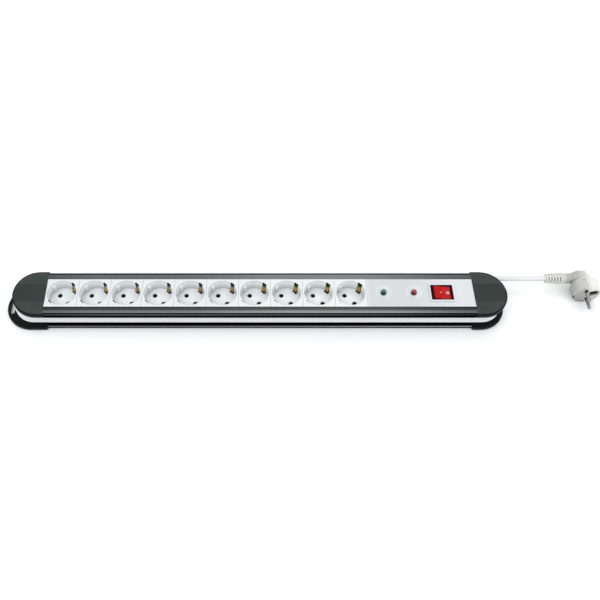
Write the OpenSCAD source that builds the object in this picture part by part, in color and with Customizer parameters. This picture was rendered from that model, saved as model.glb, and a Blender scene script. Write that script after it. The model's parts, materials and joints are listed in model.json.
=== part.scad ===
// Desk power strip: ten earthed sockets, two lamps, a rocker switch and a cord that winds into the base
// Millimetres. +X runs along the strip towards the switch, +Z is up, and the feet stand on z = 0.

/* [Strip] */
// Distance between neighbouring sockets
socket_pitch = 45; // [43:0.5:48]
// Length of the panel that carries the lamps and the switch
control_len = 150; // [140:1:180]
// Width over the two side rails
housing_w = 68.5; // [66:0.5:72]
// Height of the socket faces
face_z = 40; // [40:0.5:44]
// Underside of the upper housing, the roof of the cord groove
roof_z = 28; // [27:0.5:29]
// How far the left foot reaches beyond the right one
foot_reach = 12; // [8:1:16]

/* [Sockets] */
// Bore of the round recess
recess_d = 39.2; // [38.8:0.1:40]
// Depth of the recess
recess_depth = 17.5; // [17:0.5:18]
// Distance between the two pins
pin_spacing = 19; // [18.8:0.1:19.2]
// Diameter of a pin entry
pin_hole_d = 5.6; // [5.2:0.1:6]

/* [Switch] */
// Rocker length along the strip
rocker_len = 23; // [22:0.5:25]
// Rocker width
rocker_w = 20.6; // [19:0.2:21]
// Tilt of the rocker away from level, switch end down when off
rocker_tilt = 10; // [8:1:11]

/* [Cord and plug] */
// Cord diameter
cord_d = 7; // [6:0.5:8]
// Plug face diameter
plug_d = 38; // [37:0.5:39]
// Plug centre along X
plug_x = 474; // [460:1:490]

/* [Hidden] */

$fn = 64;
eps = 0.01;

// Strip layout; the foot reach shifts the strip so that the whole footprint is centred on X = 0
strip_x = foot_reach / 2;
socket_count = 10;
rail_len = socket_count * socket_pitch + control_len;
rail_end = rail_len / 2;
control_x = rail_end - control_len;
half_w = housing_w / 2;
end_len = 13;
cap_len = 10.3;
foot_len = 12;
cap_proud = 2.2;
foot_proud = 3.4;
foot_corner = 3;
crown = 0.8;

// Side rail section
wall_in = 21.1;
wall_out = 22.6;
plate_half = 22.9;
plate_t = 2.5;
line_y = 33.4;
line_depth = 1.4;
rib_z = 33.2;
under_w = 33.8;

// Base section
foot_gap = 0.8;
base_t = 2.5;
base_top = foot_gap + base_t;
flange_top = 6.5;
flange_half = 34.5;
lip_z = 2;
recess_half = 22.9;
foot_top = 6.9;
slot_r = 3.6;
slot_x = 53.8;
slot_half = 10.5;

// Feet and screws
rubber_r = 6;
rubber_y = 24;
boss_r = 3.6;
boss_at = [[6, 14], [32.5, 0]];
screw_r = 1.5;
screw_gap = 0.05;
screw_head_r = 2.9;
screw_head_t = 1.5;
screw_top = 22;

// End caps
cap_wall = 3.4;
skirt_in = 20.8;
cap_round = 2;

// Socket insert
tile_gap = 0.3;
cup_r = 20.9;
floor_t = 2.3;
floor_z = face_z - recess_depth;
rim_d = 0.8;
rib_w = 4.6;
rib_in = 17.9;
rib_top = face_z - 3.5;
slot_w = 7.2;
slot_in = 16.3;
slot_out = 21.6;
pin_edge = 0.8;

// Contacts
clip_w = 5.5;
bridge_z = 18.2;
clip_half = [
  [20.45, 18.2], [20.45, 22.5], [17.65, 27], [20.3, 31.5], [21, 37.5], [20.1, 37.5], [19.4, 31.5],
  [16.75, 27],
  [19.55, 22.5], [19.55, 19.1]
];
bar_y = pin_spacing / 2 / sqrt(2);
bar_z = 5;
bar_t = 1;
bar_w = 9;
sleeve_r = 3.4;
sleeve_bore = 2.45;
sleeve_top = 16;
sleeve_slit = 1.2;
earth_bar_w = 5;
earth_bar_z = 17.2;
tray_half = 20.8;
tray_wall = 1.4;
tray_top = 16.5;
tray_x0 = -296;
tray_x1 = 262;
post_len = 6;
post_w = 3;

// Control panel, measured from its left edge
led_at = [23.5, 66];
lamp_y = 1;
switch_at = 105;
dish_r = 13;
dish_depth = 2.4;
dish_pad = 1.6;
dish_ball = (dish_r * dish_r + dish_depth * dish_depth) / (2 * dish_depth);
led_hole_r = 3.3;
led_r = 3.2;
led_rim_r = 4.1;
led_base_z = 34;
led_rim_z = face_z - dish_depth + 0.3;
led_ball_z = 42.2;
lead_r = 0.3;
board_z = 22;
board_t = 1.6;

// Switch
sx = strip_x + control_x + switch_at;
collar_len = 35;
collar_w = 29;
collar_h = 1.6;
body_len = 31;
body_w = 25;
body_z = 19.5;
body_floor = 1.5;
body_top = 41;
well_len = 27.4;
well_w = 21.6;
fit_gap = 0.1;
pivot_z = 37.5;
trunnion_r = 1.5;
running_gap = 0.05;
trunnion_out = 12.1;
pole_y = 5;
arm_z = 23.2;
arm_tilt = 6;
bead_r = 1;
arm_w = 4;
contact_x = 8;
blade_t = 0.8;

// Cord route; the gland bends from the wall into the groove
cord_r = cord_d / 2;
turn_half = 26.5;
turn_slack = 6;
turn_z = [10.5, 17.5];
gland_tip = [310, 27.5];
gland_z = 12;
gland_bend = 35;
gland_turn = 35;
gland_radii = [4.9, 4.6, 4.3];
gland_root = 12;
gland_bore = 3.5;
gland_lip_r = 5.4;
block_extra = 0.3;
notch_x0 = 280;
notch_len = 27;
notch_deep = 3;
clear = 0.2;
stub_r = 3.4;
stub_len = 21;
gland_start = [
  strip_x + gland_tip[0] - gland_bend * sin(gland_turn),
  gland_tip[1] - gland_bend * (1 - cos(gland_turn)),
  gland_z
];

// Loose lead from the groove to the plug, as route points
lead_points = [
  [190, 26.5, 17.5], [205, 27.2, 17.5], [220, 29, 17.6], [235, 32, 17.7], [250, 35.2, 17.9],
  [265, 37.4, 18.1],
  [282, 38.6, 18.3], [300, 39, 18.5], [320, 39, 18.7], [340, 39, 18.8], [360, 39, 18.9], [380, 39, 19],
  [400, 39, 19], [418, 39, 19]
];
lead_sides = 12;

// Plug, in its own place: the face looks along -Y
plug_face_y = 11;
plug_axis_y = 39;
plug_roll = 20;
plug_z = plug_d / 2;
pin_d = 4.8;
pin_len = 19;
pin_root_d = 4;
plug_depth = 20;
female_x = 10;

// ---------------------------------------------------------------- shared shapes

module end_shape(r, straight) {
  intersection() {
    union() {
      translate([straight, 0]) circle(r, $fn = 128);
      translate([-2, -r]) square([straight + 2, 2 * r]);
    }
    translate([-1, -r - 1]) square([straight + r + 3, 2 * r + 2]);
  }
}

// A flat-started end of a profile that is drawn as radius and height
module end_solid(straight, reach) {
  intersection() {
    union() {
      translate([straight, 0, 0]) rotate_extrude($fn = 128) children();
      translate([straight, 0, 0]) rotate([90, 0, -90]) linear_extrude(straight + 1) children();
      translate([straight, 0, 0]) rotate([90, 0, -90]) linear_extrude(straight + 1) mirror([1, 0])
        children();
    }
    translate([0, -reach, 0]) cube([reach + straight, 2 * reach, 2 * face_z]);
  }
}

module at_end(side) {
  translate([strip_x + side * rail_end, 0, 0]) mirror([side < 0 ? 1 : 0, 0, 0]) children();
}

module along_strip(x0, x1) {
  translate([strip_x + x0, 0, 0]) rotate([90, 0, 90]) linear_extrude(x1 - x0) children();
}

// A tube along route points given from the strip's own middle; each ring stands square to the route
function way(p, i) = p[min(i + 1, len(p) - 1)] - p[max(i - 1, 0)];
function side_of(w) = [-w[1], w[0], 0] / norm([w[0], w[1]]);
function up_of(w) = cross(w, side_of(w)) / norm(w);
function ring(p, i, r, n) = let (w = way(p, i)) [for (k = [0:n - 1])
  [strip_x, 0, 0] + p[i] + r * (cos(360 * k / n) * side_of(w) + sin(360 * k / n) * up_of(w))];

module sweep(p, r, n) {
  rings = len(p);
  points = [for (i = [0:rings - 1]) each ring(p, i, r, n)];
  sides = [for (i = [0:rings - 2]) for (k = [0:n - 1]) let (m = (k + 1) % n)
    [i * n + k, (i + 1) * n + k, (i + 1) * n + m, i * n + m]];
  first = [for (k = [0:n - 1]) k];
  last = [for (k = [n - 1:-1:0]) (rings - 1) * n + k];
  polyhedron(points, concat([first], sides, [last]));
}

// One bend of the gland: a tapered step of it, from turn a0 to a1
module gland_step(r, a0, a1) {
  translate([strip_x + gland_tip[0], gland_tip[1] - gland_bend, gland_z])
    rotate([0, 0, 90 + a0])
      rotate_extrude(angle = a1 - a0, $fn = 128) translate([gland_bend, 0]) circle(r, $fn = 48);
}

module gland_rod(r, a, b) {
  translate(gland_start) rotate([0, 90, gland_turn - 180]) translate([0, 0, a])
    cylinder(r = r, h = b - a, $fn = 48);
}

// The notch in the inner wall that the gland's base block fills
module gland_notch(margin) {
  tall = 2 * (gland_radii[0] + block_extra + margin);
  translate([strip_x + notch_x0 - margin, wall_out - notch_deep - margin, gland_z - tall / 2])
    cube([notch_len + 2 * margin, notch_deep + 2 * margin, tall]);
}

// ---------------------------------------------------------------- housing

module rail_outline() {
  difference() {
    polygon([
      [wall_in, base_top], [wall_out, base_top], [wall_out, roof_z], [under_w, roof_z], [under_w, rib_z],
      [half_w, rib_z], [half_w, face_z - line_depth], [line_y, face_z - line_depth], [line_y, face_z],
      [plate_half, face_z], [plate_half, face_z - plate_t], [wall_in, face_z - plate_t]
    ]);
    polygon([
      [wall_out + 0.3, roof_z + 1.6], [under_w - 1.8, roof_z + 1.6], [under_w - 1.8, face_z - 1.8],
      [plate_half + 1.7, face_z - 1.8], [plate_half + 1.5, face_z - 4], [wall_out + 0.3, face_z - 4]
    ]);
  }
}

module rail(side) {
  color("#5a5d5d") difference() {
    mirror([0, side < 0 ? 1 : 0, 0]) along_strip(-rail_end, rail_end) rail_outline();
    if (side > 0) gland_notch(clear);
  }
}

module base_plate() {
  edge = 0.8;
  color("#585a5a") along_strip(-rail_end, rail_end) difference() {
    polygon([
      [-flange_half, lip_z], [-flange_half + 2, foot_gap], [flange_half - 2, foot_gap],
      [flange_half, lip_z],
      [flange_half, flange_top - edge],
      [flange_half - edge, flange_top], [recess_half, flange_top], [recess_half, base_top],
      [-recess_half, base_top], [-recess_half, flange_top], [edge - flange_half, flange_top],
      [-flange_half, flange_top - edge]
    ]);
    for (side = [-1, 1]) translate([side * (flange_half + recess_half) / 2 - 3.5, foot_gap + 1.4])
      square([7, 2.8]);
  }
}

module end_cap(side) {
  reach = half_w + cap_proud;
  color("#3e4443") difference() {
    at_end(side) difference() {
      union() {
        intersection() {
          end_solid(cap_len, reach + 1) union() {
            polygon([
              [0, roof_z], [reach - 3, roof_z], [reach, roof_z + 4.4],
              [reach, face_z + crown - cap_round],
              [reach - cap_round, face_z + crown], [0, face_z + crown]
            ]);
            translate([reach - cap_round, face_z + crown - cap_round]) circle(cap_round, $fn = 48);
          }
          rotate([90, 0, 90]) linear_extrude(reach + end_len + 1) polygon([
            [-reach, roof_z], [reach, roof_z], [reach, face_z - 1.4], [half_w - 1, face_z - 0.4],
            [15, face_z + crown], [-15, face_z + crown], [1 - half_w, face_z - 0.4], [-reach, face_z - 1.4]
          ]);
        }
        linear_extrude(roof_z + 1) intersection() {
          end_shape(wall_out, end_len);
          translate([0, -wall_out]) square([end_len + wall_out + 1, 2 * wall_out]);
        }
      }
      difference() {
        union() {
          translate([0, 0, -1]) linear_extrude(face_z - 1.6) end_shape(skirt_in, end_len);
          translate([0, 0, roof_z + 1.8]) linear_extrude(face_z - roof_z - 4.2)
            end_shape(reach - cap_wall, cap_len);
        }
        for (p = boss_at) translate([p[0], p[1], 0]) cylinder(r = boss_r, h = face_z);
      }
      translate([-2, -reach - 2, -1]) cube([end_len + 2 * reach, 2 * reach + 4, base_top + 1]);
      for (p = boss_at) translate([p[0], p[1], 0])
        cylinder(r = screw_r + screw_gap, h = screw_top + 1, $fn = 32);
    }
    if (side > 0) gland_notch(clear);
  }
}

module foot_cap(side) {
  reach = half_w + foot_proud;
  straight = side < 0 ? foot_len + foot_reach : foot_len;
  color("#3c4140") at_end(side) difference() {
    end_solid(straight, reach + 1) polygon([
      [0, foot_gap], [reach - 1, foot_gap], [reach, foot_gap + 1], [reach, foot_top - 1.2],
      [reach - 1.2, foot_top], [0, foot_top]
    ]);
    for (s = [-1, 1]) translate([0, s * reach, -1]) linear_extrude(foot_top + 2) difference() {
      translate([-1, -foot_corner]) square([foot_corner + 1, 2 * foot_corner]);
      translate([foot_corner, -s * foot_corner]) circle(foot_corner, $fn = 48);
    }
    translate([0, 0, base_top]) linear_extrude(foot_top) end_shape(recess_half, end_len);
    for (y = [-rubber_y, rubber_y]) translate([end_len, y, 0]) cylinder(r = rubber_r, h = foot_gap + 1.2);
    for (p = boss_at) {
      translate([p[0], p[1], 0]) cylinder(r = screw_r + screw_gap, h = foot_top, $fn = 32);
      translate([p[0], p[1], 0]) cylinder(r = screw_head_r + 0.2, h = foot_gap + screw_head_t, $fn = 48);
    }
    if (side < 0) translate([slot_x, 0, -1]) linear_extrude(foot_top + 2) union() {
      for (y = [-slot_half, slot_half]) translate([0, y]) circle(slot_r, $fn = 48);
      translate([-slot_r, -slot_half]) square([2 * slot_r, 2 * slot_half]);
    }
  }
}

module rubber_feet() {
  color("#232323") for (side = [-1, 1]) for (y = [-rubber_y, rubber_y])
    at_end(side) translate([end_len, y, 0]) cylinder(r = rubber_r, h = foot_gap + 1.2);
}

module housing_screws() {
  cross = 3.4;
  color("#b8babb") for (side = [-1, 1]) for (p = boss_at) at_end(side)
    translate([p[0], p[1], foot_gap]) difference() {
    union() {
      cylinder(r = screw_head_r, h = screw_head_t, $fn = 48);
      cylinder(r = screw_r, h = screw_top - foot_gap, $fn = 32);
    }
    translate([-cross / 2, -0.4, -1]) cube([cross, 0.8, 1.8]);
    translate([-0.4, -cross / 2, -1]) cube([0.8, cross, 1.8]);
  }
}

// Liner between the metal profile and the bars, with a post under the earth bar at each seam
module insulation_tray() {
  color("#c9c7bd") {
    along_strip(tray_x0, tray_x1) polygon([
      [-tray_half, base_top], [tray_half, base_top], [tray_half, tray_top],
      [tray_half - tray_wall, tray_top],
      [tray_half - tray_wall, bar_z], [tray_wall - tray_half, bar_z], [tray_wall - tray_half, tray_top],
      [-tray_half, tray_top]
    ]);
    for (i = [1:socket_count]) translate([socket_x(i) + socket_pitch / 2, 0, base_top])
      translate([-post_len / 2, -post_w / 2, 0]) cube([post_len, post_w, earth_bar_z - base_top]);
  }
}

// ---------------------------------------------------------------- sockets

function socket_x(i) = strip_x - rail_end + socket_pitch * (i - 0.5);

module socket_insert(i) {
  plate_l = socket_pitch - tile_gap;
  plate_w = 2 * plate_half - 0.2;
  recess_r = recess_d / 2;
  color("#e3e4e6") translate([socket_x(i), 0, 0]) difference() {
    union() {
      difference() {
        union() {
          translate([-plate_l / 2, -plate_w / 2, face_z - plate_t]) cube([plate_l, plate_w, plate_t]);
          translate([0, 0, floor_z - floor_t]) cylinder(r = cup_r, h = face_z - floor_z, $fn = 128);
        }
        translate([0, 0, floor_z]) cylinder(r = recess_r, h = face_z, $fn = 128);
        translate([0, 0, face_z - rim_d])
          cylinder(r1 = recess_r, r2 = recess_r + rim_d, h = rim_d, $fn = 128);
      }
      for (a = [135, 315]) rotate([0, 0, a]) translate([rib_in, -rib_w / 2, floor_z - eps])
        cube([recess_r + 0.5 - rib_in, rib_w, rib_top - floor_z]);
    }
    for (a = [45, 225]) rotate([0, 0, a]) translate([slot_in, -slot_w / 2, 0])
      cube([slot_out - slot_in, slot_w, face_z + 1]);
    for (a = [135, 315]) rotate([0, 0, a]) translate([pin_spacing / 2, 0, 0]) {
      cylinder(d = pin_hole_d, h = face_z, $fn = 48);
      translate([0, 0, floor_z - pin_edge])
        cylinder(d1 = pin_hole_d, d2 = pin_hole_d + 2 * pin_edge, h = pin_edge, $fn = 48);
    }
  }
}

module earth_contact(i) {
  left_half = [for (k = [len(clip_half) - 1:-1:0]) [-clip_half[k][0], clip_half[k][1]]];
  color("#c9a24a") translate([socket_x(i), 0, 0]) rotate([0, 0, 45]) translate([0, clip_w / 2, 0])
    rotate([90, 0, 0]) linear_extrude(clip_w) polygon(concat(clip_half, left_half));
}

// Bar with one split sleeve per socket; side +1 is the back one
module bus_bar(side) {
  color("#c47a44") difference() {
    union() {
      translate([socket_x(1) - 14, side * bar_y - bar_w / 2, bar_z])
        cube([sx + contact_x + 1 - socket_x(1) + 14, bar_w, bar_t]);
      for (i = [1:socket_count]) translate([socket_x(i) - side * bar_y, side * bar_y, bar_z])
        cylinder(r = sleeve_r, h = sleeve_top - bar_z, $fn = 48);
    }
    for (i = [1:socket_count]) translate([socket_x(i) - side * bar_y, side * bar_y, bar_z - 1]) {
      cylinder(r = sleeve_bore, h = sleeve_top, $fn = 48);
      translate([-sleeve_slit / 2, -sleeve_r - 1, bar_t + 3])
        cube([sleeve_slit, 2 * sleeve_r + 2, sleeve_top]);
    }
  }
}

module earth_bus_bar() {
  color("#c9a24a") translate([socket_x(1) - 14, -earth_bar_w / 2, bridge_z - bar_t])
    cube([strip_x + rail_end - 22 - socket_x(1) + 14, earth_bar_w, bar_t]);
}

// ---------------------------------------------------------------- control panel

module control_panel() {
  plate_w = 2 * plate_half - 0.2;
  color("#e3e4e6") translate([strip_x + control_x, 0, 0]) difference() {
    union() {
      translate([tile_gap / 2, -plate_w / 2, face_z - plate_t])
        cube([control_len - tile_gap, plate_w, plate_t]);
      for (x = led_at) translate([x, lamp_y, face_z - plate_t - dish_pad])
        cylinder(r = dish_r, h = dish_pad + 1);
      for (x = [19, 73]) for (y = [-16, 16]) translate([x, y, board_z + board_t])
        cylinder(r = 2, h = face_z - board_z - board_t - 1, $fn = 32);
    }
    for (x = led_at) translate([x, lamp_y, 0]) {
      translate([0, 0, face_z - dish_depth + dish_ball]) sphere(dish_ball, $fn = 200);
      cylinder(r = led_hole_r, h = face_z, $fn = 48);
    }
    translate([switch_at - body_len / 2 - fit_gap, -body_w / 2 - fit_gap, 0])
      cube([body_len + 2 * fit_gap, body_w + 2 * fit_gap, 2 * face_z]);
  }
}

module led(i, tint) {
  color(tint) translate([strip_x + control_x + led_at[i], lamp_y, 0]) {
    translate([0, 0, led_base_z]) cylinder(r = led_r, h = led_ball_z - led_base_z, $fn = 48);
    translate([0, 0, led_rim_z]) cylinder(r = led_rim_r, h = 0.8, $fn = 48);
    translate([0, 0, led_ball_z]) sphere(led_r, $fn = 48);
    for (y = [-1.3, 1.3]) translate([0, y, board_z + board_t])
      cylinder(r = lead_r, h = led_base_z - board_z, $fn = 16);
  }
}

module surge_board() {
  color("#2f6b45") translate([strip_x + control_x + 16, -19, board_z]) cube([60, 38, board_t]);
}

module varistors() {
  disc_r = 6;
  color("#2b4f9a") for (x = [34, 46, 56])
    translate([strip_x + control_x + x, 0, board_z + board_t + disc_r])
    rotate([0, 90, 0]) cylinder(r = disc_r, h = 4.5, $fn = 48);
}

module thermal_fuse() {
  fuse_r = 2;
  color("#d8d0b8") translate([strip_x + control_x + 38, 13, board_z + board_t + fuse_r])
    rotate([0, 90, 0]) cylinder(r = fuse_r, h = 11, $fn = 32);
}

// ---------------------------------------------------------------- switch

module rounded_rect(l, w, r) {
  union() {
    square([l - 2 * r, w], center = true);
    square([l, w - 2 * r], center = true);
    for (x = [-1, 1]) for (y = [-1, 1]) translate([x * (l / 2 - r), y * (w / 2 - r)]) circle(r, $fn = 32);
  }
}

module switch_collar() {
  color("#eceded") translate([sx, 0, face_z]) linear_extrude(collar_h) difference() {
    rounded_rect(collar_len, collar_w, 1.5);
    square([body_len + 2 * fit_gap, body_w + 2 * fit_gap], center = true);
  }
}

module switch_body() {
  color("#1d1e1f") translate([sx, 0, 0]) difference() {
    translate([-body_len / 2, -body_w / 2, body_z]) cube([body_len, body_w, body_top - body_z]);
    translate([-well_len / 2, -well_w / 2, body_z + body_floor]) cube([well_len, well_w, body_top]);
    translate([0, -body_w, pivot_z]) rotate([-90, 0, 0])
      cylinder(r = trunnion_r + running_gap, h = 2 * body_w, $fn = 48);
    for (y = [-pole_y, pole_y]) for (x = [0, contact_x]) translate([x - blade_t / 2 - fit_gap, y - 2.1, 0])
      cube([blade_t + 2 * fit_gap, 4.2, body_top - 10]);
  }
}

module on_rocker() {
  translate([sx, 0, pivot_z]) rotate([0, rocker_tilt, 0]) children();
}

module switch_rocker() {
  half = rocker_len / 2;
  boss_end = -8;
  color("#cf3329") on_rocker() difference() {
    union() {
      translate([0, rocker_w / 2, 0]) rotate([90, 0, 0]) linear_extrude(rocker_w) polygon([
        [-half, 4.3], [0, 2.9], [half, 4.3], [half + 0.2, 1.2], [half, -1.6], [6, -3.2], [-6, -3.2],
        [-half, -1.6], [-half - 0.2, 1.2]
      ]);
      translate([0, -trunnion_out, 0]) rotate([-90, 0, 0])
        cylinder(r = trunnion_r, h = 2 * trunnion_out, $fn = 48);
      for (y = [-pole_y, pole_y]) translate([0, y, boss_end]) cylinder(r = 2.5, h = 6, $fn = 48);
    }
    for (y = [-pole_y, pole_y]) translate([0, y, boss_end - 1]) cylinder(r = 1.7, h = 5, $fn = 48);
  }
}

module switch_plungers() {
  color("#d9d6c8") on_rocker() for (y = [-pole_y, pole_y]) translate([0, y, -11.1]) {
    sphere(1.6, $fn = 48);
    cylinder(r = 1.6, h = 4.6, $fn = 48);
  }
}

module plunger_springs() {
  color("#b0b3b6") on_rocker() for (y = [-pole_y, pole_y]) for (k = [0:2])
    translate([0, y, -6.1 + 0.65 * k])
    rotate_extrude($fn = 48) translate([1.25, 0]) circle(0.34, $fn = 16);
}

module contact_arm(side) {
  color("#c9a24a") translate([sx, side * pole_y, arm_z]) rotate([0, -arm_tilt, 0]) union() {
    translate([0, arm_w / 2, 0]) rotate([90, 0, 0]) linear_extrude(arm_w) union() {
      polygon([
        [-9.5, 0.9], [-2, 0.1], [2, 0.1], [9.5, 0.9], [9.5, 1.9], [2, 1.1], [-2, 1.1], [-9.5, 1.9]
      ]);
      circle(bead_r, $fn = 48);
    }
    translate([contact_x, 0, 0.1]) cylinder(r = 1.3, h = 1, $fn = 32);
  }
}

module switch_terminals() {
  floor_top = body_z + body_floor;
  pad_z = 21.9;
  color("#cfa95a") translate([sx, 0, 0]) for (y = [-pole_y, pole_y]) {
    difference() {
      translate([-1.6, y - arm_w / 2, floor_top]) cube([3.2, arm_w, arm_z - floor_top - 0.6]);
      translate([0, y - arm_w, arm_z]) rotate([-90, 0, 0])
        cylinder(r = bead_r + running_gap, h = 2 * arm_w, $fn = 48);
    }
    translate([-blade_t / 2, y - 2, 13]) cube([blade_t, 4, floor_top - 13]);
    translate([contact_x, y, floor_top]) cylinder(r = 1.5, h = pad_z - floor_top, $fn = 32);
    translate([contact_x - blade_t / 2, y - 2, bar_z + bar_t])
      cube([blade_t, 4, floor_top - bar_z - bar_t]);
  }
}

// ---------------------------------------------------------------- cord inside the housing

core_r = 1.1;
core_sides = 8;
core_routes = [
  [[272.6, 9.05, 14.3], [271.2, 8.06, 14.5], [268, 8.1, 14.8], [262, 8.3, 15], [254.4, 8.15, 15]],
  [[272.6, 9.05, 12], [271.2, 8.06, 12.1], [269.3, 5.5, 12.5], [269.5, 2, 13.8], [271.5, 0.3, 15.4],
    [275, 0, 16.1]],
  [[272.6, 9.05, 9.7], [271.2, 8.06, 9.7], [269.3, 5.5, 9.7], [269.3, 1, 9.9], [269.5, -4, 11.3],
    [268.5, -7.5, 12.8], [265.5, -9, 14], [261, -8.7, 14.8], [254.4, -8.15, 15]]
];

module core_wires() {
  color("#7a5236") for (route = core_routes) sweep(route, core_r, core_sides);
}

module cord_stub() {
  color("#e8eaeb") gland_rod(stub_r, 0, stub_len);
}

module clamp_at() {
  translate(gland_start) rotate([0, 0, gland_turn - 180])
    translate([stub_len - 3, 0, base_top - gland_z]) children();
}

module cord_clamp() {
  color("#8d8f8c") difference() {
    clamp_at() translate([-3, -7, 0]) cube([6, 14, 14]);
    gland_rod(stub_r, -eps, stub_len + 1);
    clamp_at() for (y = [-5.2, 5.2]) translate([0, y, 3]) cylinder(r = 1.2, h = 20, $fn = 32);
  }
}

module clamp_screws() {
  color("#b8babb") clamp_at() for (y = [-5.2, 5.2]) translate([0, y, 3]) {
    cylinder(r = 1.15, h = 11, $fn = 32);
    translate([0, 0, 11]) cylinder(r = 1.9, h = 1.2, $fn = 32);
  }
}

// ---------------------------------------------------------------- cord outside the housing

module cord_gland() {
  step = gland_turn / len(gland_radii);
  color("#dfe0df") difference() {
    union() {
      for (k = [0:len(gland_radii) - 1])
        gland_step(gland_radii[k], gland_turn - step * (k + 1), gland_turn - step * k);
      gland_rod(gland_radii[0], -eps, gland_root);
      gland_rod(gland_lip_r, gland_root - 2, gland_root);
      gland_notch(0);
    }
    gland_step(gland_bore, -1, gland_turn);
    gland_rod(gland_bore, -eps, gland_root + 1);
  }
}

module stadium(r) {
  far = rail_end + end_len;
  union() {
    for (x = [-far - turn_slack, far]) translate([x, 0]) circle(r, $fn = 128);
    translate([-far - turn_slack, -r]) square([2 * far + turn_slack, 2 * r]);
  }
}

// Both turns as one outer shape, cut away where the gland lies below the upper turn
module cord_winding() {
  z0 = turn_z[0] - cord_r;
  z1 = turn_z[1] + cord_r;
  color("#eceeee") difference() {
    translate([strip_x, 0, z0]) linear_extrude(z1 - z0) difference() {
      stadium(turn_half + cord_r);
      stadium(turn_half - cord_r + 0.1);
    }
    translate([strip_x + gland_tip[0] - 32, 12, 0])
      cube([35, 22, gland_z + gland_radii[0] + block_extra + clear]);
  }
}

module cord_lead() {
  color("#eceeee") sweep(lead_points, cord_r, lead_sides);
}

// ---------------------------------------------------------------- plug

module plug_at() {
  translate([plug_x, plug_face_y, plug_z]) rotate([-90, 0, 0]) children();
}

module plug_rolled() {
  plug_at() rotate([0, 0, -plug_roll]) children();
}

// The face disc, the rounded back and the neck towards the cord; pins and earth parts are rolled on the face
module plug_body() {
  r = plug_d / 2;
  neck_y = plug_axis_y - plug_face_y;
  color("#e2e3dd") difference() {
    union() {
      plug_at() cylinder(r = r, h = plug_depth - 3, $fn = 96);
      plug_at() translate([0, 0, plug_depth - 3]) cylinder(r1 = r, r2 = r - 3, h = 3, $fn = 96);
      plug_at() hull() {
        translate([0, 0, plug_depth - 6]) cylinder(r = r - 3.5, h = 1, $fn = 40);
        translate([-9, 0, neck_y - 1]) rotate([0, 90, 0]) cylinder(r = 11.5, h = 13, $fn = 40);
        translate([-8, 0, neck_y - 1]) rotate([0, 90, 0]) cylinder(r = 12.5, h = 10, $fn = 40);
      }
      plug_at() hull() {
        translate([-16, 0, neck_y]) rotate([0, 90, 0]) cylinder(r = 7.6, h = 1, $fn = 40);
        translate([-10, 0, neck_y - 0.6]) rotate([0, 90, 0]) cylinder(r = 11, h = 2, $fn = 40);
      }
      translate([plug_x - 30, plug_axis_y, plug_z]) rotate([0, 90, 0]) cylinder(r = 7.4, h = 16, $fn = 48);
    }
    plug_rolled() for (a = [90, 270]) rotate([0, 0, a]) translate([pin_spacing / 2, 0, -1])
      cylinder(d = pin_root_d, h = 9, $fn = 48);
    plug_rolled() for (s = [-1, 1]) translate([s * (r - 1.2) - 1.8, -3.2, -1]) cube([3.6, 6.4, 13]);
    plug_rolled() translate([female_x - 5.6, -5.2, -1]) cube([10.8, 10.4, 14]);
    plug_rolled() for (a = [90, 270]) rotate([0, 0, a]) translate([r - 1.5, -2.4, -1])
      cube([4, 4.8, plug_depth - 4]);
  }
}

// Ribbed strain relief with a row of short slots on four sides
module plug_relief() {
  start = plug_x - 53;
  ribs = 5;
  pitch = 4.1;
  color("#e2e3dd") difference() {
    translate([start, plug_axis_y, plug_z]) rotate([0, 90, 0]) union() {
      cylinder(r1 = 5.8, r2 = 7, h = 23, $fn = 48);
      for (k = [0:ribs]) translate([0, 0, k * pitch]) cylinder(r = 6.7 + 0.16 * k, h = 2.3, $fn = 48);
    }
    for (k = [0:ribs - 1]) for (a = [45, 135, 225, 315])
      translate([start + k * pitch + 2.4, plug_axis_y, plug_z]) rotate([a, 0, 0])
        translate([0, -2.7, 3.8]) cube([1.7, 5.4, 5]);
    translate([start - 1, plug_axis_y, plug_z]) rotate([0, 90, 0]) cylinder(r = cord_r, h = 10, $fn = 48);
  }
}

module plug_pins() {
  color("#c9ccce") plug_rolled() for (a = [90, 270]) rotate([0, 0, a]) translate([pin_spacing / 2, 0, 0]) {
    translate([0, 0, -pin_len + pin_d / 2]) cylinder(d = pin_d, h = pin_len - pin_d / 2, $fn = 48);
    cylinder(d = pin_root_d, h = 8, $fn = 48);
    translate([0, 0, -pin_len + pin_d / 2]) sphere(d = pin_d, $fn = 48);
  }
}

// Two side strips, and the spring box that takes an earth pin
module plug_earth_contacts() {
  r = plug_d / 2;
  color("#c9ccce") plug_rolled() {
    for (s = [-1, 1]) mirror([s < 0 ? 1 : 0, 0, 0]) translate([r - 3, -2.2, 0.8]) cube([1, 4.4, 11.2]);
    difference() {
      translate([female_x - 4.4, -4, 2.5]) cube([8.8, 8, 10.5]);
      translate([female_x - 3.6, -3.2, 0]) cube([7.2, 6.4, 12]);
    }
  }
}

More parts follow.
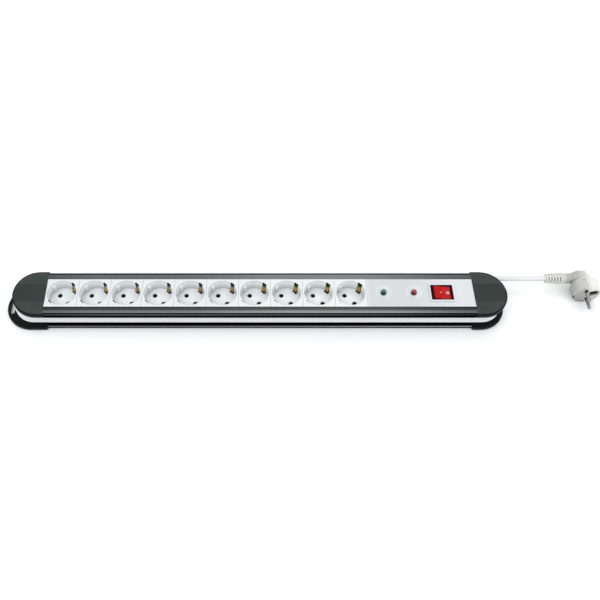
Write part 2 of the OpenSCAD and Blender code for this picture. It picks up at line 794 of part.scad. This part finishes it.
rail(-1);  // rail_front
rail(1);  // rail_back
base_plate();
end_cap(-1);  // end_cap_left
end_cap(1);  // end_cap_right
foot_cap(-1);  // foot_cap_left
foot_cap(1);  // foot_cap_right
rubber_feet();
housing_screws();
insulation_tray();
socket_insert(1);  // socket_insert_01
socket_insert(2);  // socket_insert_02
socket_insert(3);  // socket_insert_03
socket_insert(4);  // socket_insert_04
socket_insert(5);  // socket_insert_05
socket_insert(6);  // socket_insert_06
socket_insert(7);  // socket_insert_07
socket_insert(8);  // socket_insert_08
socket_insert(9);  // socket_insert_09
socket_insert(10);  // socket_insert_10
earth_contact(1);  // earth_contact_01
earth_contact(2);  // earth_contact_02
earth_contact(3);  // earth_contact_03
earth_contact(4);  // earth_contact_04
earth_contact(5);  // earth_contact_05
earth_contact(6);  // earth_contact_06
earth_contact(7);  // earth_contact_07
earth_contact(8);  // earth_contact_08
earth_contact(9);  // earth_contact_09
earth_contact(10);  // earth_contact_10
bus_bar(1);  // live_bus_bar
bus_bar(-1);  // neutral_bus_bar
earth_bus_bar();
control_panel();
led(0, "#3f7a63");  // led_green
led(1, "#c0392b");  // led_red
surge_board();
varistors();
thermal_fuse();
switch_collar();
switch_body();
switch_rocker();
switch_plungers();
plunger_springs();
contact_arm(1);  // contact_arm_live
contact_arm(-1);  // contact_arm_neutral
switch_terminals();
core_wires();
cord_stub();
cord_clamp();
clamp_screws();
cord_gland();
cord_winding();
cord_lead();
plug_body();
plug_relief();
plug_pins();
plug_earth_contacts();
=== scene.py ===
"""Desk power strip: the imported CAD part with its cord, rocker marks, finishes, floor and studio light."""
import json
import math

import bmesh
import bpy
from mathutils import Matrix, Vector


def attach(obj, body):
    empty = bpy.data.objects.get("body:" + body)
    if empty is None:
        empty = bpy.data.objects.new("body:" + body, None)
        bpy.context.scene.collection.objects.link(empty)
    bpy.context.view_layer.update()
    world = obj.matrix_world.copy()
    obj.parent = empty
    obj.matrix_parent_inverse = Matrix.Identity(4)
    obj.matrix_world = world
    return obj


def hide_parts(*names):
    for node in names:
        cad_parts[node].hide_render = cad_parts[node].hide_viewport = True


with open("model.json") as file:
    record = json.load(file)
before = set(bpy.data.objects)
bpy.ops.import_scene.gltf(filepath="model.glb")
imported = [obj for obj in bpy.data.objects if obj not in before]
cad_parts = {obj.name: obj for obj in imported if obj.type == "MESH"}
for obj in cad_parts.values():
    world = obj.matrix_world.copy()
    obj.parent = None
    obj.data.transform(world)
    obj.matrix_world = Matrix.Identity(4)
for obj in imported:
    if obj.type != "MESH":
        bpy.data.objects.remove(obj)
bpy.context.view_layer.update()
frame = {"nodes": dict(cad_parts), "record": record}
scene = bpy.context.scene
MM = 0.001

# The lengths in this block are millimetres, laid out as in part.scad. The cord's route and the caps' arcs
# count X from the middle of the strip, which lies STRIP_X along the frame. The other places are in the frame
# itself, apart from the rocker's.
STRIP_X = 6.0

# The cord: the line of its turns in the groove, the gland it leaves by, and the lead to the plug.
# The shares are of an end's half turn; GLAND_TURNS are degrees of the gland's bend, back from its tip.
CORD_D = 7.0
TURN_HALF = 26.5
RIGHT_X, LEFT_X = 313.0, -319.0
LOW_Z, HIGH_Z, OVER_Z = 10.5, 17.5, 20.9
CLIMB_FROM_X, CLIMB_TO_X = 222.0, 284.0
SINK_SHARE, WIDEN_SHARE, SETTLE_SHARE = 0.7, 0.6, 0.9
GLAND_TIP = (310.0, 27.5, 12.0)
GLAND_BEND = 35.0
GLAND_TURNS = (6.0, 3.0)
LEAD = [
    (190, 26.5, 17.5), (205, 27.2, 17.5), (220, 29, 17.6), (235, 32, 17.7), (250, 35.2, 17.9),
    (265, 37.4, 18.1), (282, 38.6, 18.3), (300, 39, 18.5), (320, 39, 18.7), (340, 39, 18.8),
    (360, 39, 18.9), (380, 39, 19), (400, 39, 19), (422, 39, 19),
]
LEAD_PIECES = 4

# The rocker, from its pivot: its face rises from the fold in its middle towards both ends
ROCKER_TILT = 10.0
FOLD_Z = 2.9
FACE_RISE, FACE_HALF = 1.4, 11.5
FACE_SLOPE = math.atan2(FACE_RISE, FACE_HALF)
DASH_X, RING_X = -2.4, 7.6
MARK_THICK, MARK_LIFT = 0.14, 0.03

# What the shades are laid out by
FIRST_SOCKET_X, SOCKET_PITCH, RECESS_R = -271.5, 45.0, 19.6
CAP_ARC_X, CAP_REACH = 310.3, 36.45
GREEN_LAMP, RED_LAMP = (179.5, 1.0), (222.0, 1.0)
POCKET_CENTRE, POCKET_HALVES, POCKET_ROLL = (483.2, 17.4, 22.4), (5.45, 6.2, 5.25), 20.0


# ---------------------------------------------------------------- camera

def add_camera():
    """The camera stands in front of the strip and above it, square to its length."""
    elevation = math.radians(56.8)
    distance = 1.044
    aim = Vector((-0.0041, -0.0121, 0.040))
    back = Vector((0.0, -math.cos(elevation), math.sin(elevation)))
    data = bpy.data.cameras.new("camera")
    data.sensor_width = 36.0
    data.lens = 45.0
    data.shift_x = 0.079
    data.clip_start = 0.01
    camera = bpy.data.objects.new("camera", data)
    camera.location = aim + back * distance
    camera.rotation_euler = (math.pi / 2 - elevation, 0.0, 0.0)
    scene.collection.objects.link(camera)
    scene.camera = camera


add_camera()


# ---------------------------------------------------------------- cord

def eased(stops, place):
    """A value along a stretch, eased between stops of (place, value)."""
    if place <= stops[0][0]:
        return stops[0][1]
    for (p0, v0), (p1, v1) in zip(stops, stops[1:]):
        if place <= p1:
            s = (place - p0) / (p1 - p0)
            return v0 + (v1 - v0) * s * s * (3 - 2 * s)
    return stops[-1][1]


def straight(x0, x1, y, heights, step=8.0):
    """Points along X from x0 up to x1; heights are stops by X."""
    count = max(2, int(abs(x1 - x0) / step))
    places = [x0 + (x1 - x0) * i / count for i in range(count)]
    return [(x, y, eased(heights, x)) for x in places]


def end_arc(side, heights, radii, steps=24):
    """Half a turn round an end of the strip, clockwise from above; heights and radii are stops by share."""
    centre = RIGHT_X if side > 0 else LEFT_X
    out = []
    for i in range(steps):
        share = i / steps
        angle = math.radians(90.0 * side - 180.0 * share)
        r = eased(radii, share)
        out.append((centre + r * math.cos(angle), r * math.sin(angle), eased(heights, share)))
    return out


def smooth(points, pieces):
    """A Catmull-Rom line through points, with this many pieces between two of them."""
    pts = [Vector(p) for p in points]
    out = []
    for i in range(len(pts) - 1):
        a, b = pts[max(i - 1, 0)], pts[i]
        c, d = pts[i + 1], pts[min(i + 2, len(pts) - 1)]
        for k in range(pieces):
            t = k / pieces
            square = (2 * a - 5 * b + 4 * c - d) * t * t
            cube = (3 * b - a - 3 * c + d) * t * t * t
            out.append(tuple(0.5 * ((2 * b) + (c - a) * t + square + cube)))
    out.append(tuple(pts[-1]))
    return out


def cord_route():
    """The whole cord: out of the gland, two turns in the groove, then the lead to the plug."""
    half = TURN_HALF
    tip_x, tip_y, tip_z = GLAND_TIP
    even = [(0.0, half), (1.0, half)]
    low, high = [(0.0, LOW_Z)], [(0.0, HIGH_Z)]
    points = []
    for turn in GLAND_TURNS:
        a = math.radians(90.0 + turn)
        y = tip_y - GLAND_BEND + GLAND_BEND * math.sin(a)
        points.append((tip_x + GLAND_BEND * math.cos(a), y, tip_z))
    points.append(GLAND_TIP)
    points += end_arc(1, [(0.0, tip_z), (SINK_SHARE, LOW_Z)], [(0.0, tip_y), (WIDEN_SHARE, half)])
    points += straight(RIGHT_X, LEFT_X, -half, low)
    points += end_arc(-1, low, even)
    points += straight(LEFT_X, RIGHT_X, half, [(CLIMB_FROM_X, LOW_Z), (CLIMB_TO_X, OVER_Z)])
    points += end_arc(1, [(0.0, OVER_Z), (SETTLE_SHARE, HIGH_Z)], even)
    points += straight(RIGHT_X, LEFT_X, -half, high)
    points += end_arc(-1, high, even)
    points += straight(LEFT_X, LEAD[0][0], half, high)
    points += smooth(LEAD, LEAD_PIECES)
    return points


def add_cord():
    """The cord as a curve; each point's radius scales a bevel of one metre."""
    route = [Vector((STRIP_X + x, y, z)) * MM for x, y, z in cord_route()]
    data = bpy.data.curves.new("cord", "CURVE")
    data.dimensions = "3D"
    spline = data.splines.new("POLY")
    spline.points.add(len(route) - 1)
    for point, place in zip(spline.points, route):
        point.co = (*place, 1.0)
        point.radius = CORD_D / 2 * MM
    data.bevel_depth = 1.0
    data.bevel_resolution = 5
    data.use_fill_caps = True
    piece = bpy.data.objects.new("cord", data)
    scene.collection.objects.link(piece)
    return piece


cord = add_cord()
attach(cord, "housing")
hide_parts("cord_winding", "cord_lead")


# ---------------------------------------------------------------- rocker marks

def rocker_pivot():
    for joint in frame["record"]["behaviour"]["joints"]:
        if joint["name"] == "rocker_tilt":
            return Vector(joint["pos_m"])
    raise ValueError("the record has no rocker_tilt joint")


def on_rocker(x):
    """Where a mark lies on the tilted rocker's face; x runs from the fold, along the level rocker."""
    z = FOLD_Z + abs(x) * FACE_RISE / FACE_HALF + MARK_LIFT
    tilt = Matrix.Rotation(math.radians(ROCKER_TILT), 4, "Y")
    face = Matrix.Rotation(math.copysign(FACE_SLOPE, -x), 4, "Y")
    return Matrix.Translation(rocker_pivot()) @ tilt @ Matrix.Translation(Vector((x, 0.0, z)) * MM) @ face


def add_mark(name, mesh_maker, matrix):
    mesh = bpy.data.meshes.new(name)
    shape = bmesh.new()
    mesh_maker(shape)
    shape.to_mesh(mesh)
    shape.free()
    mesh.transform(matrix)
    mark = bpy.data.objects.new(name, mesh)
    scene.collection.objects.link(mark)
    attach(mark, "rocker")
    return mark


def dash(shape, length=3.0, width=0.7):
    """A thin flat bar."""
    size = Matrix.Diagonal((length * MM, width * MM, MARK_THICK * MM, 1.0))
    bmesh.ops.create_cube(shape, size=1.0, matrix=size)


def ring(shape, outer=2.1, inner=1.25, steps=40):
    """A flat ring as a closed band."""
    angles = [2 * math.pi * k / steps for k in range(steps)]
    loops = []
    for r, z in ((outer, -0.5), (outer, 0.5), (inner, 0.5), (inner, -0.5)):
        loops.append([
            shape.verts.new((r * MM * math.cos(a), r * MM * math.sin(a), z * MARK_THICK * MM)) for a in angles
        ])
    for a, b in zip(loops, loops[1:] + loops[:1]):
        for k in range(steps):
            m = (k + 1) % steps
            shape.faces.new((a[k], a[m], b[m], b[k]))


marks = [
    add_mark("mark_on", dash, on_rocker(DASH_X)),
    add_mark("mark_off", ring, on_rocker(RING_X)),
]


# ---------------------------------------------------------------- tones
# Most of them paint shade and light into the colour.
# Each list holds stops of (place in millimetres, factor), along an axis of the frame or a distance that a
# shade works out. A finish's own colour is multiplied by the factor.
# They deepen what the light alone leaves too even, and were set by comparison with the photograph.

# Painted shade up the rails: the undercut, the rib, the sunk line along the edge, then the flat top
RAIL_SIDE_PAINTED_SHADE = ("Z", [
    (27, 0.005), (33.1, 0.005), (33.3, 0.2), (34.5, 0.3), (38.2, 0.55), (38.4, 0.01), (39.85, 0.01),
    (39.95, 1.0), (42, 1.0),
])
# Painted shade across both rails, from the front edge to the back edge; the outer side faces keep their tone
RAIL_ACROSS_PAINTED_SHADE = ("Y", [
    (-34.25, 1.0), (-34.2, 0.1), (-33.5, 0.1), (-33.3, 1.0), (-31, 0.9), (-29, 0.5), (-27, 0.25),
    (-24.5, 0.2), (-23.2, 0.3), (0, 0.4), (23, 0.6), (30.4, 0.66), (31.3, 0.15), (32, 0.005),
    (34.2, 0.005), (34.25, 1.0),
])
# Painted shade along the rails, darker towards both ends
RAIL_ALONG_PAINTED_SHADE = ("X", [
    (-294, 0.6), (-230, 0.9), (-100, 0.88), (20, 0.8), (160, 0.72), (210, 0.6), (260, 0.45), (306, 0.38),
])
# The base: painted shade, dark below and inside, which leaves a light top edge along its lip
BASE_SIDE_PAINTED_SHADE = ("Z", [(0, 0.0), (5.5, 0.0), (5.7, 1.0), (7, 1.0)])
BASE_ACROSS_PAINTED_SHADE = ("Y", [(-34.5, 1.0), (-34.1, 1.0), (-33.9, 0.01), (33.3, 0.01), (33.7, 0.5), (34.5, 0.5)])
# Painted shade and light up the white plastic: the dark pin holes, the recess floor, its wall, then the flat
# face, which is darker than what lies just below it
FACE_DEPTH_PAINTED_LIGHT_AND_SHADE = ("Z", [
    (19, 0.03), (21.7, 0.04), (22.4, 0.6), (22.5, 0.98), (22.55, 0.98), (22.7, 0.62), (27, 0.75),
    (35, 0.98), (39.6, 1.0), (39.9, 0.81), (42, 0.81),
])
# Painted highlight across the white plastic, lighter along both long edges
PANEL_EDGE_PAINTED_HIGHLIGHT = ("Y", [(-23, 1.0), (-22.3, 1.0), (-21.6, 0.86), (21.6, 0.86), (22.3, 1.0), (23, 1.0)])
# Painted shade along the control panel, which begins at 155
PANEL_ALONG_PAINTED_SHADE = ("X", [(154, 1.0), (160, 0.78), (215, 0.78), (260, 0.86), (275, 0.9), (306, 0.9)])
# Painted shade round a socket's middle, then up: the clip slots behind the recess wall, below the flat face
SLOT_SHADE_AWAY = [(0, 1.0), (RECESS_R + 0.15, 1.0), (RECESS_R + 0.4, 0.03), (SOCKET_PITCH, 0.03)]
SLOT_SHADE_UP = [(20, 0), (39.7, 0), (39.9, 1.0), (42, 1.0)]
# Painted shade up the brass clips: left bright where the recess lets the light in, dark below that and at the
# hooks
CLIP_DEPTH_PAINTED_SHADE = ("Z", [(12, 0.3), (22.3, 0.2), (22.8, 1.0), (31.5, 1.0), (33.5, 0.12), (38, 0.08)])
# Painted shade up the bars' sleeves, dark under the pin holes
SLEEVE_DEPTH_PAINTED_SHADE = ("Z", [(0, 1.0), (14, 1.0), (20, 0.2), (22, 0.15)])
# The end caps: painted shade as a darker band along their middle, and as a dark rim outside their flat top
CAP_BAND_PAINTED_SHADE = ("Y", [(-38, 1.0), (-15.4, 1.0), (-14.8, 0.72), (14.8, 0.72), (15.4, 1.0), (38, 1.0)])
CAP_RIM_PAINTED_SHADE = [(0, 1.0), (CAP_REACH - 2.2, 1.0), (CAP_REACH - 1.5, 0.06), (CAP_REACH + 1, 0.03)]
# Out from a lamp's middle
LAMP_DOT = [(0, 1.0), (1.2, 0.8), (2.4, 0.35), (3.2, 0.16), (4.4, 0.1)]
# Painted light and shade on the plug: up, along, and by the share of the way out of its earth pocket, whose
# inside is painted dark
PLUG_UP_PAINTED_LIGHT_AND_SHADE = ("Z", [(0, 0.4), (8, 0.62), (26, 0.85), (34, 1.1), (46, 1.2)])
PLUG_ALONG_PAINTED_LIGHT_AND_SHADE = ("X", [
    (410, 1.1), (438, 1.0), (447, 0.9), (450, 0.66), (462, 0.6), (470, 0.68), (478, 0.95), (494, 1.0),
])
POCKET_INSIDE_PAINTED_SHADE = [(0, 0.05), (0.98, 0.05), (1.02, 1.0), (2, 1.0)]
# Painted shade along the plug's pins, dark at their roots
PIN_ROOT_PAINTED_SHADE = ("Y", [(-10, 1.0), (6.5, 0.9), (8.5, 0.08), (12, 0.08)])
# Painted shade up the cord, dark on its lower side, and along it, so that only the lead past the strip is
# shaded
LEAD_UNDERSIDE_PAINTED_SHADE = [(15, 0.3), (17.4, 0.42), (19, 0.8), (20.4, 1.0), (23, 1.0)]
LEAD_SHADE_REACH = [(-360, 1.0), (346, 1.0), (352, 0), (500, 0)]


# ---------------------------------------------------------------- material nodes

def node(tree, kind, **values):
    """A node with its properties and its inputs set by name."""
    made = tree.nodes.new("ShaderNode" + kind)
    for key, value in values.items():
        if hasattr(made, key):
            setattr(made, key, value)
        else:
            made.inputs[key.replace("_", " ")].default_value = value
    return made


def remap(tree, source, low, high, to_low, to_high):
    made = node(tree, "MapRange", From_Min=low, From_Max=high, To_Min=to_low, To_Max=to_high)
    tree.links.new(source, made.inputs["Value"])
    return made.outputs["Result"]


def calc(tree, operation, *terms):
    """A Math node; each term is a socket or a number."""
    made = node(tree, "Math", operation=operation)
    for socket, term in zip(made.inputs, terms):
        if isinstance(term, (int, float)):
            socket.default_value = term
        else:
            tree.links.new(term, socket)
    return made.outputs["Value"]


def ramp(tree, source, stops):
    """The factor from stops of (place in millimetres, factor), for a source in metres."""
    low, high = stops[0][0] * MM, stops[-1][0] * MM
    made = node(tree, "ValToRGB")
    tree.links.new(remap(tree, source, low, high, 0.0, 1.0), made.inputs["Fac"])
    elements = made.color_ramp.elements
    for at, _ in stops[1:-1]:
        elements.new((at * MM - low) / (high - low))
    for element in elements:
        place = low + element.position * (high - low)
        factor = min(stops, key=lambda stop: abs(stop[0] * MM - place))[1]
        element.color = (factor, factor, factor, 1.0)
    return made.outputs["Color"]


def flat_length(tree, x, y):
    """The length of the flat vector (x, y)."""
    flat = node(tree, "CombineXYZ")
    tree.links.new(x, flat.inputs["X"])
    tree.links.new(y, flat.inputs["Y"])
    length = node(tree, "VectorMath", operation="LENGTH")
    tree.links.new(flat.outputs["Vector"], length.inputs[0])
    return length.outputs["Value"]


# ---------------------------------------------------------------- shades

def cap_rim_painted_shade(tree, axes):
    """Painted shade by the distance from the middle line between the strip's two end arcs, seen from above.
    """
    along = calc(tree, "SUBTRACT", axes["X"], STRIP_X * MM)
    past = calc(tree, "SUBTRACT", calc(tree, "ABSOLUTE", along), CAP_ARC_X * MM)
    return ramp(tree, flat_length(tree, calc(tree, "MAXIMUM", past, 0.0), axes["Y"]), CAP_RIM_PAINTED_SHADE)


def lamp_shade(centre):
    """Tone by the distance from a lamp's own middle, seen from above."""
    def shade(tree, axes):
        x = calc(tree, "SUBTRACT", axes["X"], centre[0] * MM)
        y = calc(tree, "SUBTRACT", axes["Y"], centre[1] * MM)
        return ramp(tree, flat_length(tree, x, y), LAMP_DOT)
    return shade


def slot_painted_shade(tree, axes):
    """Painted shade: the clip slots behind each recess wall are dark below the flat face."""
    along = calc(tree, "SUBTRACT", axes["X"], FIRST_SOCKET_X * MM)
    half = SOCKET_PITCH / 2 * MM
    away = flat_length(tree, calc(tree, "WRAP", along, half, -half), axes["Y"])
    return calc(tree, "MAXIMUM", ramp(tree, away, SLOT_SHADE_AWAY), ramp(tree, axes["Z"], SLOT_SHADE_UP))


def lead_painted_shade(tree, axes):
    """Painted shade: the lead past the strip is darker on its lower side; the turns in the groove are left as
    they are.
    """
    return calc(tree, "MAXIMUM", ramp(tree, axes["Z"], LEAD_UNDERSIDE_PAINTED_SHADE), ramp(tree, axes["X"], LEAD_SHADE_REACH))


def pocket_painted_shade(tree, axes):
    """Painted shade: the inside of the plug's earth pocket, a box turned about Y, is dark."""
    turn = math.radians(POCKET_ROLL)
    sides = ((math.cos(turn), 0.0, math.sin(turn)), (0.0, 1.0, 0.0), (math.sin(turn), 0.0, -math.cos(turn)))
    offset = node(tree, "VectorMath", operation="SUBTRACT")
    tree.links.new(axes["place"], offset.inputs[0])
    offset.inputs[1].default_value = [value * MM for value in POCKET_CENTRE]
    shares = []
    for side, half in zip(sides, POCKET_HALVES):
        along = node(tree, "VectorMath", operation="DOT_PRODUCT")
        tree.links.new(offset.outputs["Vector"], along.inputs[0])
        along.inputs[1].default_value = side
        shares.append(calc(tree, "DIVIDE", calc(tree, "ABSOLUTE", along.outputs["Value"]), half))
    furthest = calc(tree, "MAXIMUM", calc(tree, "MAXIMUM", shares[0], shares[1]), shares[2])
    return ramp(tree, furthest, POCKET_INSIDE_PAINTED_SHADE)


# ---------------------------------------------------------------- finishes

DRIFT_RANGE = (0.25, 0.75)
CLOUD_RANGE = (0.3, 0.7)
CLOUD_FINER = 5
GRAIN_DEPTH = 0.0001


def surface(name, color, rough, metallic=0.0, mottle=0.05, mottle_scale=40.0, grain=0.1, grain_scale=2500.0,
            stretch=(1.0, 1.0, 1.0), rough_span=0.08, coat=0.0, anisotropic=0.0, spec=0.5, edge_tint=1.0,
            bands=(), shades=()):
    """A procedural finish: soft colour drift, fine grain as bump, roughness that wanders, and tones.

    bands holds (axis, stops) pairs and shades holds functions; each of them gives one factor."""
    made = bpy.data.materials.new(name)
    made.use_nodes = True
    tree = made.node_tree
    shader = tree.nodes["Principled BSDF"]
    link = tree.links.new
    place = node(tree, "TexCoord").outputs["Object"]
    mapping = node(tree, "Mapping", Scale=stretch)
    link(place, mapping.inputs["Vector"])
    drift = node(tree, "TexNoise", Scale=mottle_scale, Detail=5.0, Roughness=0.6)
    link(mapping.outputs["Vector"], drift.inputs["Vector"])
    value = remap(tree, drift.outputs["Fac"], *DRIFT_RANGE, 1.0 - mottle, 1.0 + mottle)
    split = node(tree, "SeparateXYZ")
    link(place, split.inputs["Vector"])
    axes = {"place": place, **{axis: split.outputs[axis] for axis in "XYZ"}}
    for axis, stops in bands:
        value = calc(tree, "MULTIPLY", value, ramp(tree, axes[axis], stops))
    for shade in shades:
        value = calc(tree, "MULTIPLY", value, shade(tree, axes))
    tone = node(tree, "HueSaturation", Color=(*color, 1.0))
    link(value, tone.inputs["Value"])
    link(tone.outputs["Color"], shader.inputs["Base Color"])
    fine = node(tree, "TexNoise", Scale=grain_scale, Detail=3.0, Roughness=0.55)
    link(mapping.outputs["Vector"], fine.inputs["Vector"])
    bump = node(tree, "Bump", Strength=grain, Distance=GRAIN_DEPTH)
    link(fine.outputs["Fac"], bump.inputs["Height"])
    link(bump.outputs["Normal"], shader.inputs["Normal"])
    cloud = node(tree, "TexNoise", Scale=mottle_scale * CLOUD_FINER, Detail=4.0)
    link(mapping.outputs["Vector"], cloud.inputs["Vector"])
    wander = remap(tree, cloud.outputs["Fac"], *CLOUD_RANGE, rough - rough_span, rough + rough_span)
    link(wander, shader.inputs["Roughness"])
    shader.inputs["Metallic"].default_value = metallic
    shader.inputs["Coat Weight"].default_value = coat
    shader.inputs["Anisotropic"].default_value = anisotropic
    shader.inputs["Specular IOR Level"].default_value = spec
    shader.inputs["Specular Tint"].default_value = (edge_tint, edge_tint, edge_tint, 1.0)
    return made


WHITE = dict(color=(0.92, 0.95, 0.968), rough=0.32, mottle=0.015, grain=0.05, spec=0.45)
BRUSHED = dict(metallic=1.0, mottle_scale=60, grain=0.12, grain_scale=3500, stretch=(0.03, 1.0, 1.0),
               rough_span=0.05, anisotropic=0.5, edge_tint=0.1)
LAMP = dict(rough=0.25, mottle=0.1, mottle_scale=400, coat=0.1, spec=0.3)

# One finish per material slot of the record, and white_panel for the control panel alone
# Most of the bands and shades below paint shade and light into the colour
FINISHES = {
    "white_plastic": dict(WHITE, bands=[PANEL_EDGE_PAINTED_HIGHLIGHT, FACE_DEPTH_PAINTED_LIGHT_AND_SHADE], shades=[slot_painted_shade]),
    "white_panel": dict(WHITE, bands=[PANEL_EDGE_PAINTED_HIGHLIGHT, FACE_DEPTH_PAINTED_LIGHT_AND_SHADE, PANEL_ALONG_PAINTED_SHADE]),
    "brass": dict(color=(0.55, 0.38, 0.13), rough=0.3, metallic=1.0, mottle=0.12, mottle_scale=150,
                  bands=[CLIP_DEPTH_PAINTED_SHADE]),
    "rail_metal": dict(BRUSHED, color=(0.27, 0.274, 0.274), rough=0.34,
                       bands=[RAIL_SIDE_PAINTED_SHADE, RAIL_ACROSS_PAINTED_SHADE, RAIL_ALONG_PAINTED_SHADE]),
    "base_metal": dict(BRUSHED, color=(0.30, 0.304, 0.304), rough=0.36, bands=[BASE_SIDE_PAINTED_SHADE, BASE_ACROSS_PAINTED_SHADE]),
    "cap_plastic": dict(color=(0.040, 0.050, 0.046), rough=0.5, spec=0.08, mottle=0.14, mottle_scale=60,
                        grain=0.3, grain_scale=1800, stretch=(0.3, 1.0, 1.0), bands=[CAP_BAND_PAINTED_SHADE],
                        shades=[cap_rim_painted_shade]),
    "foot_plastic": dict(color=(0.003, 0.0035, 0.0035), rough=0.45, spec=0.12, mottle=0.08, grain=0.3,
                         grain_scale=1800),
    "foot_rubber": dict(color=(0.02, 0.02, 0.021), rough=0.8, mottle=0.1, grain=0.4, grain_scale=1200),
    "screw_steel": dict(color=(0.55, 0.56, 0.57), rough=0.3, metallic=1.0, mottle=0.08, mottle_scale=300),
    "liner_plastic": dict(color=(0.58, 0.57, 0.52), rough=0.5, mottle=0.04, grain=0.2),
    "copper": dict(color=(0.6, 0.33, 0.17), rough=0.33, metallic=1.0, mottle=0.12, mottle_scale=120,
                   bands=[SLEEVE_DEPTH_PAINTED_SHADE]),
    "board": dict(color=(0.03, 0.16, 0.08), rough=0.4, mottle=0.2, mottle_scale=200, grain=0.3),
    "varistor": dict(color=(0.03, 0.09, 0.35), rough=0.35, mottle=0.1, grain=0.2),
    "fuse": dict(color=(0.6, 0.55, 0.4), rough=0.3, mottle=0.1),
    "collar_plastic": dict(color=(0.62, 0.63, 0.65), rough=0.28, mottle=0.01, grain=0.04),
    "switch_black": dict(color=(0.003, 0.003, 0.004), rough=0.4, spec=0.15, mottle=0.1, grain=0.15),
    "rocker_red": dict(color=(0.40, 0.006, 0.006), rough=0.3, mottle=0.06, mottle_scale=90, grain=0.06,
                       spec=0.08, coat=0.02),
    "core_insulation": dict(color=(0.25, 0.12, 0.05), rough=0.4, mottle=0.1),
    "cord_sheath": dict(color=(0.69, 0.70, 0.70), rough=0.42, mottle=0.03, mottle_scale=25, grain=0.15,
                        grain_scale=1400, shades=[lead_painted_shade]),
    "gland_plastic": dict(color=(0.74, 0.75, 0.74), rough=0.5, mottle=0.03, grain=0.2),
    "plug_plastic": dict(color=(0.70, 0.70, 0.66), rough=0.38, mottle=0.03, mottle_scale=30, grain=0.15,
                         grain_scale=1600, bands=[PLUG_UP_PAINTED_LIGHT_AND_SHADE, PLUG_ALONG_PAINTED_LIGHT_AND_SHADE], shades=[pocket_painted_shade]),
    "pin_nickel": dict(color=(0.30, 0.30, 0.29), rough=0.22, metallic=1.0, mottle=0.08, mottle_scale=200,
                       stretch=(1.0, 0.1, 1.0), bands=[PIN_ROOT_PAINTED_SHADE]),
    "led_green": dict(LAMP, color=(0.06, 0.26, 0.20), shades=[lamp_shade(GREEN_LAMP)]),
    "led_red": dict(LAMP, color=(0.68, 0.07, 0.05), shades=[lamp_shade(RED_LAMP)]),
}
FLOOR_FINISH = dict(color=(0.95, 0.95, 0.95), rough=0.6, mottle=0.004, mottle_scale=2.0, grain=0.02,
                    grain_scale=300.0)
finishes = {name: surface(name, **values) for name, values in FINISHES.items()}

for sub in frame["record"]["subparts"]:
    finish = "white_panel" if sub["node"] == "control_panel" else sub["material_slot"]
    cad = frame["nodes"][sub["node"]]
    cad.data.materials.clear()
    cad.data.materials.append(finishes[finish])
cord.data.materials.append(finishes["cord_sheath"])
for mark in marks:
    mark.data.materials.append(finishes["collar_plastic"])


# ---------------------------------------------------------------- floor and light

def add_floor():
    """A pale square that lies just under the feet."""
    half = 4.0
    gap = 0.0004
    mesh = bpy.data.meshes.new("floor")
    corners = [(-half, -half, 0), (half, -half, 0), (half, half, 0), (-half, half, 0)]
    mesh.from_pydata(corners, [], [(0, 1, 2, 3)])
    floor = bpy.data.objects.new("floor", mesh)
    floor.location.z = -gap
    scene.collection.objects.link(floor)
    mesh.materials.append(surface("floor", **FLOOR_FINISH))


def add_area(name, place, aim, size, power):
    data = bpy.data.lights.new(name, "AREA")
    data.shape = "RECTANGLE"
    data.size, data.size_y = size
    data.energy = power
    lamp = bpy.data.objects.new(name, data)
    lamp.location = place
    lamp.rotation_euler = (Vector(aim) - Vector(place)).to_track_quat("-Z", "Y").to_euler()
    scene.collection.objects.link(lamp)


def add_world(color, strength):
    world = bpy.data.worlds.new("world")
    scene.world = world
    world.use_nodes = True
    background = world.node_tree.nodes["Background"]
    background.inputs["Color"].default_value = (*color, 1.0)
    background.inputs["Strength"].default_value = strength


add_floor()
add_area("key", place=(-0.9, -0.5, 1.5), aim=(0.0, 0.0, 0.0), size=(1.2, 1.2), power=9.0)
add_area("fill", place=(0.9, -1.3, 1.2), aim=(0.1, 0.0, 0.0), size=(1.6, 1.2), power=8.0)
add_area("back", place=(0.38, 0.78, 1.15), aim=(0.12, 0.0, 0.04), size=(0.8, 0.5), power=2.6)
add_world(color=(0.97, 0.985, 1.0), strength=0.92)
scene.view_settings.view_transform = "Standard"

bpy.context.view_layer.update()
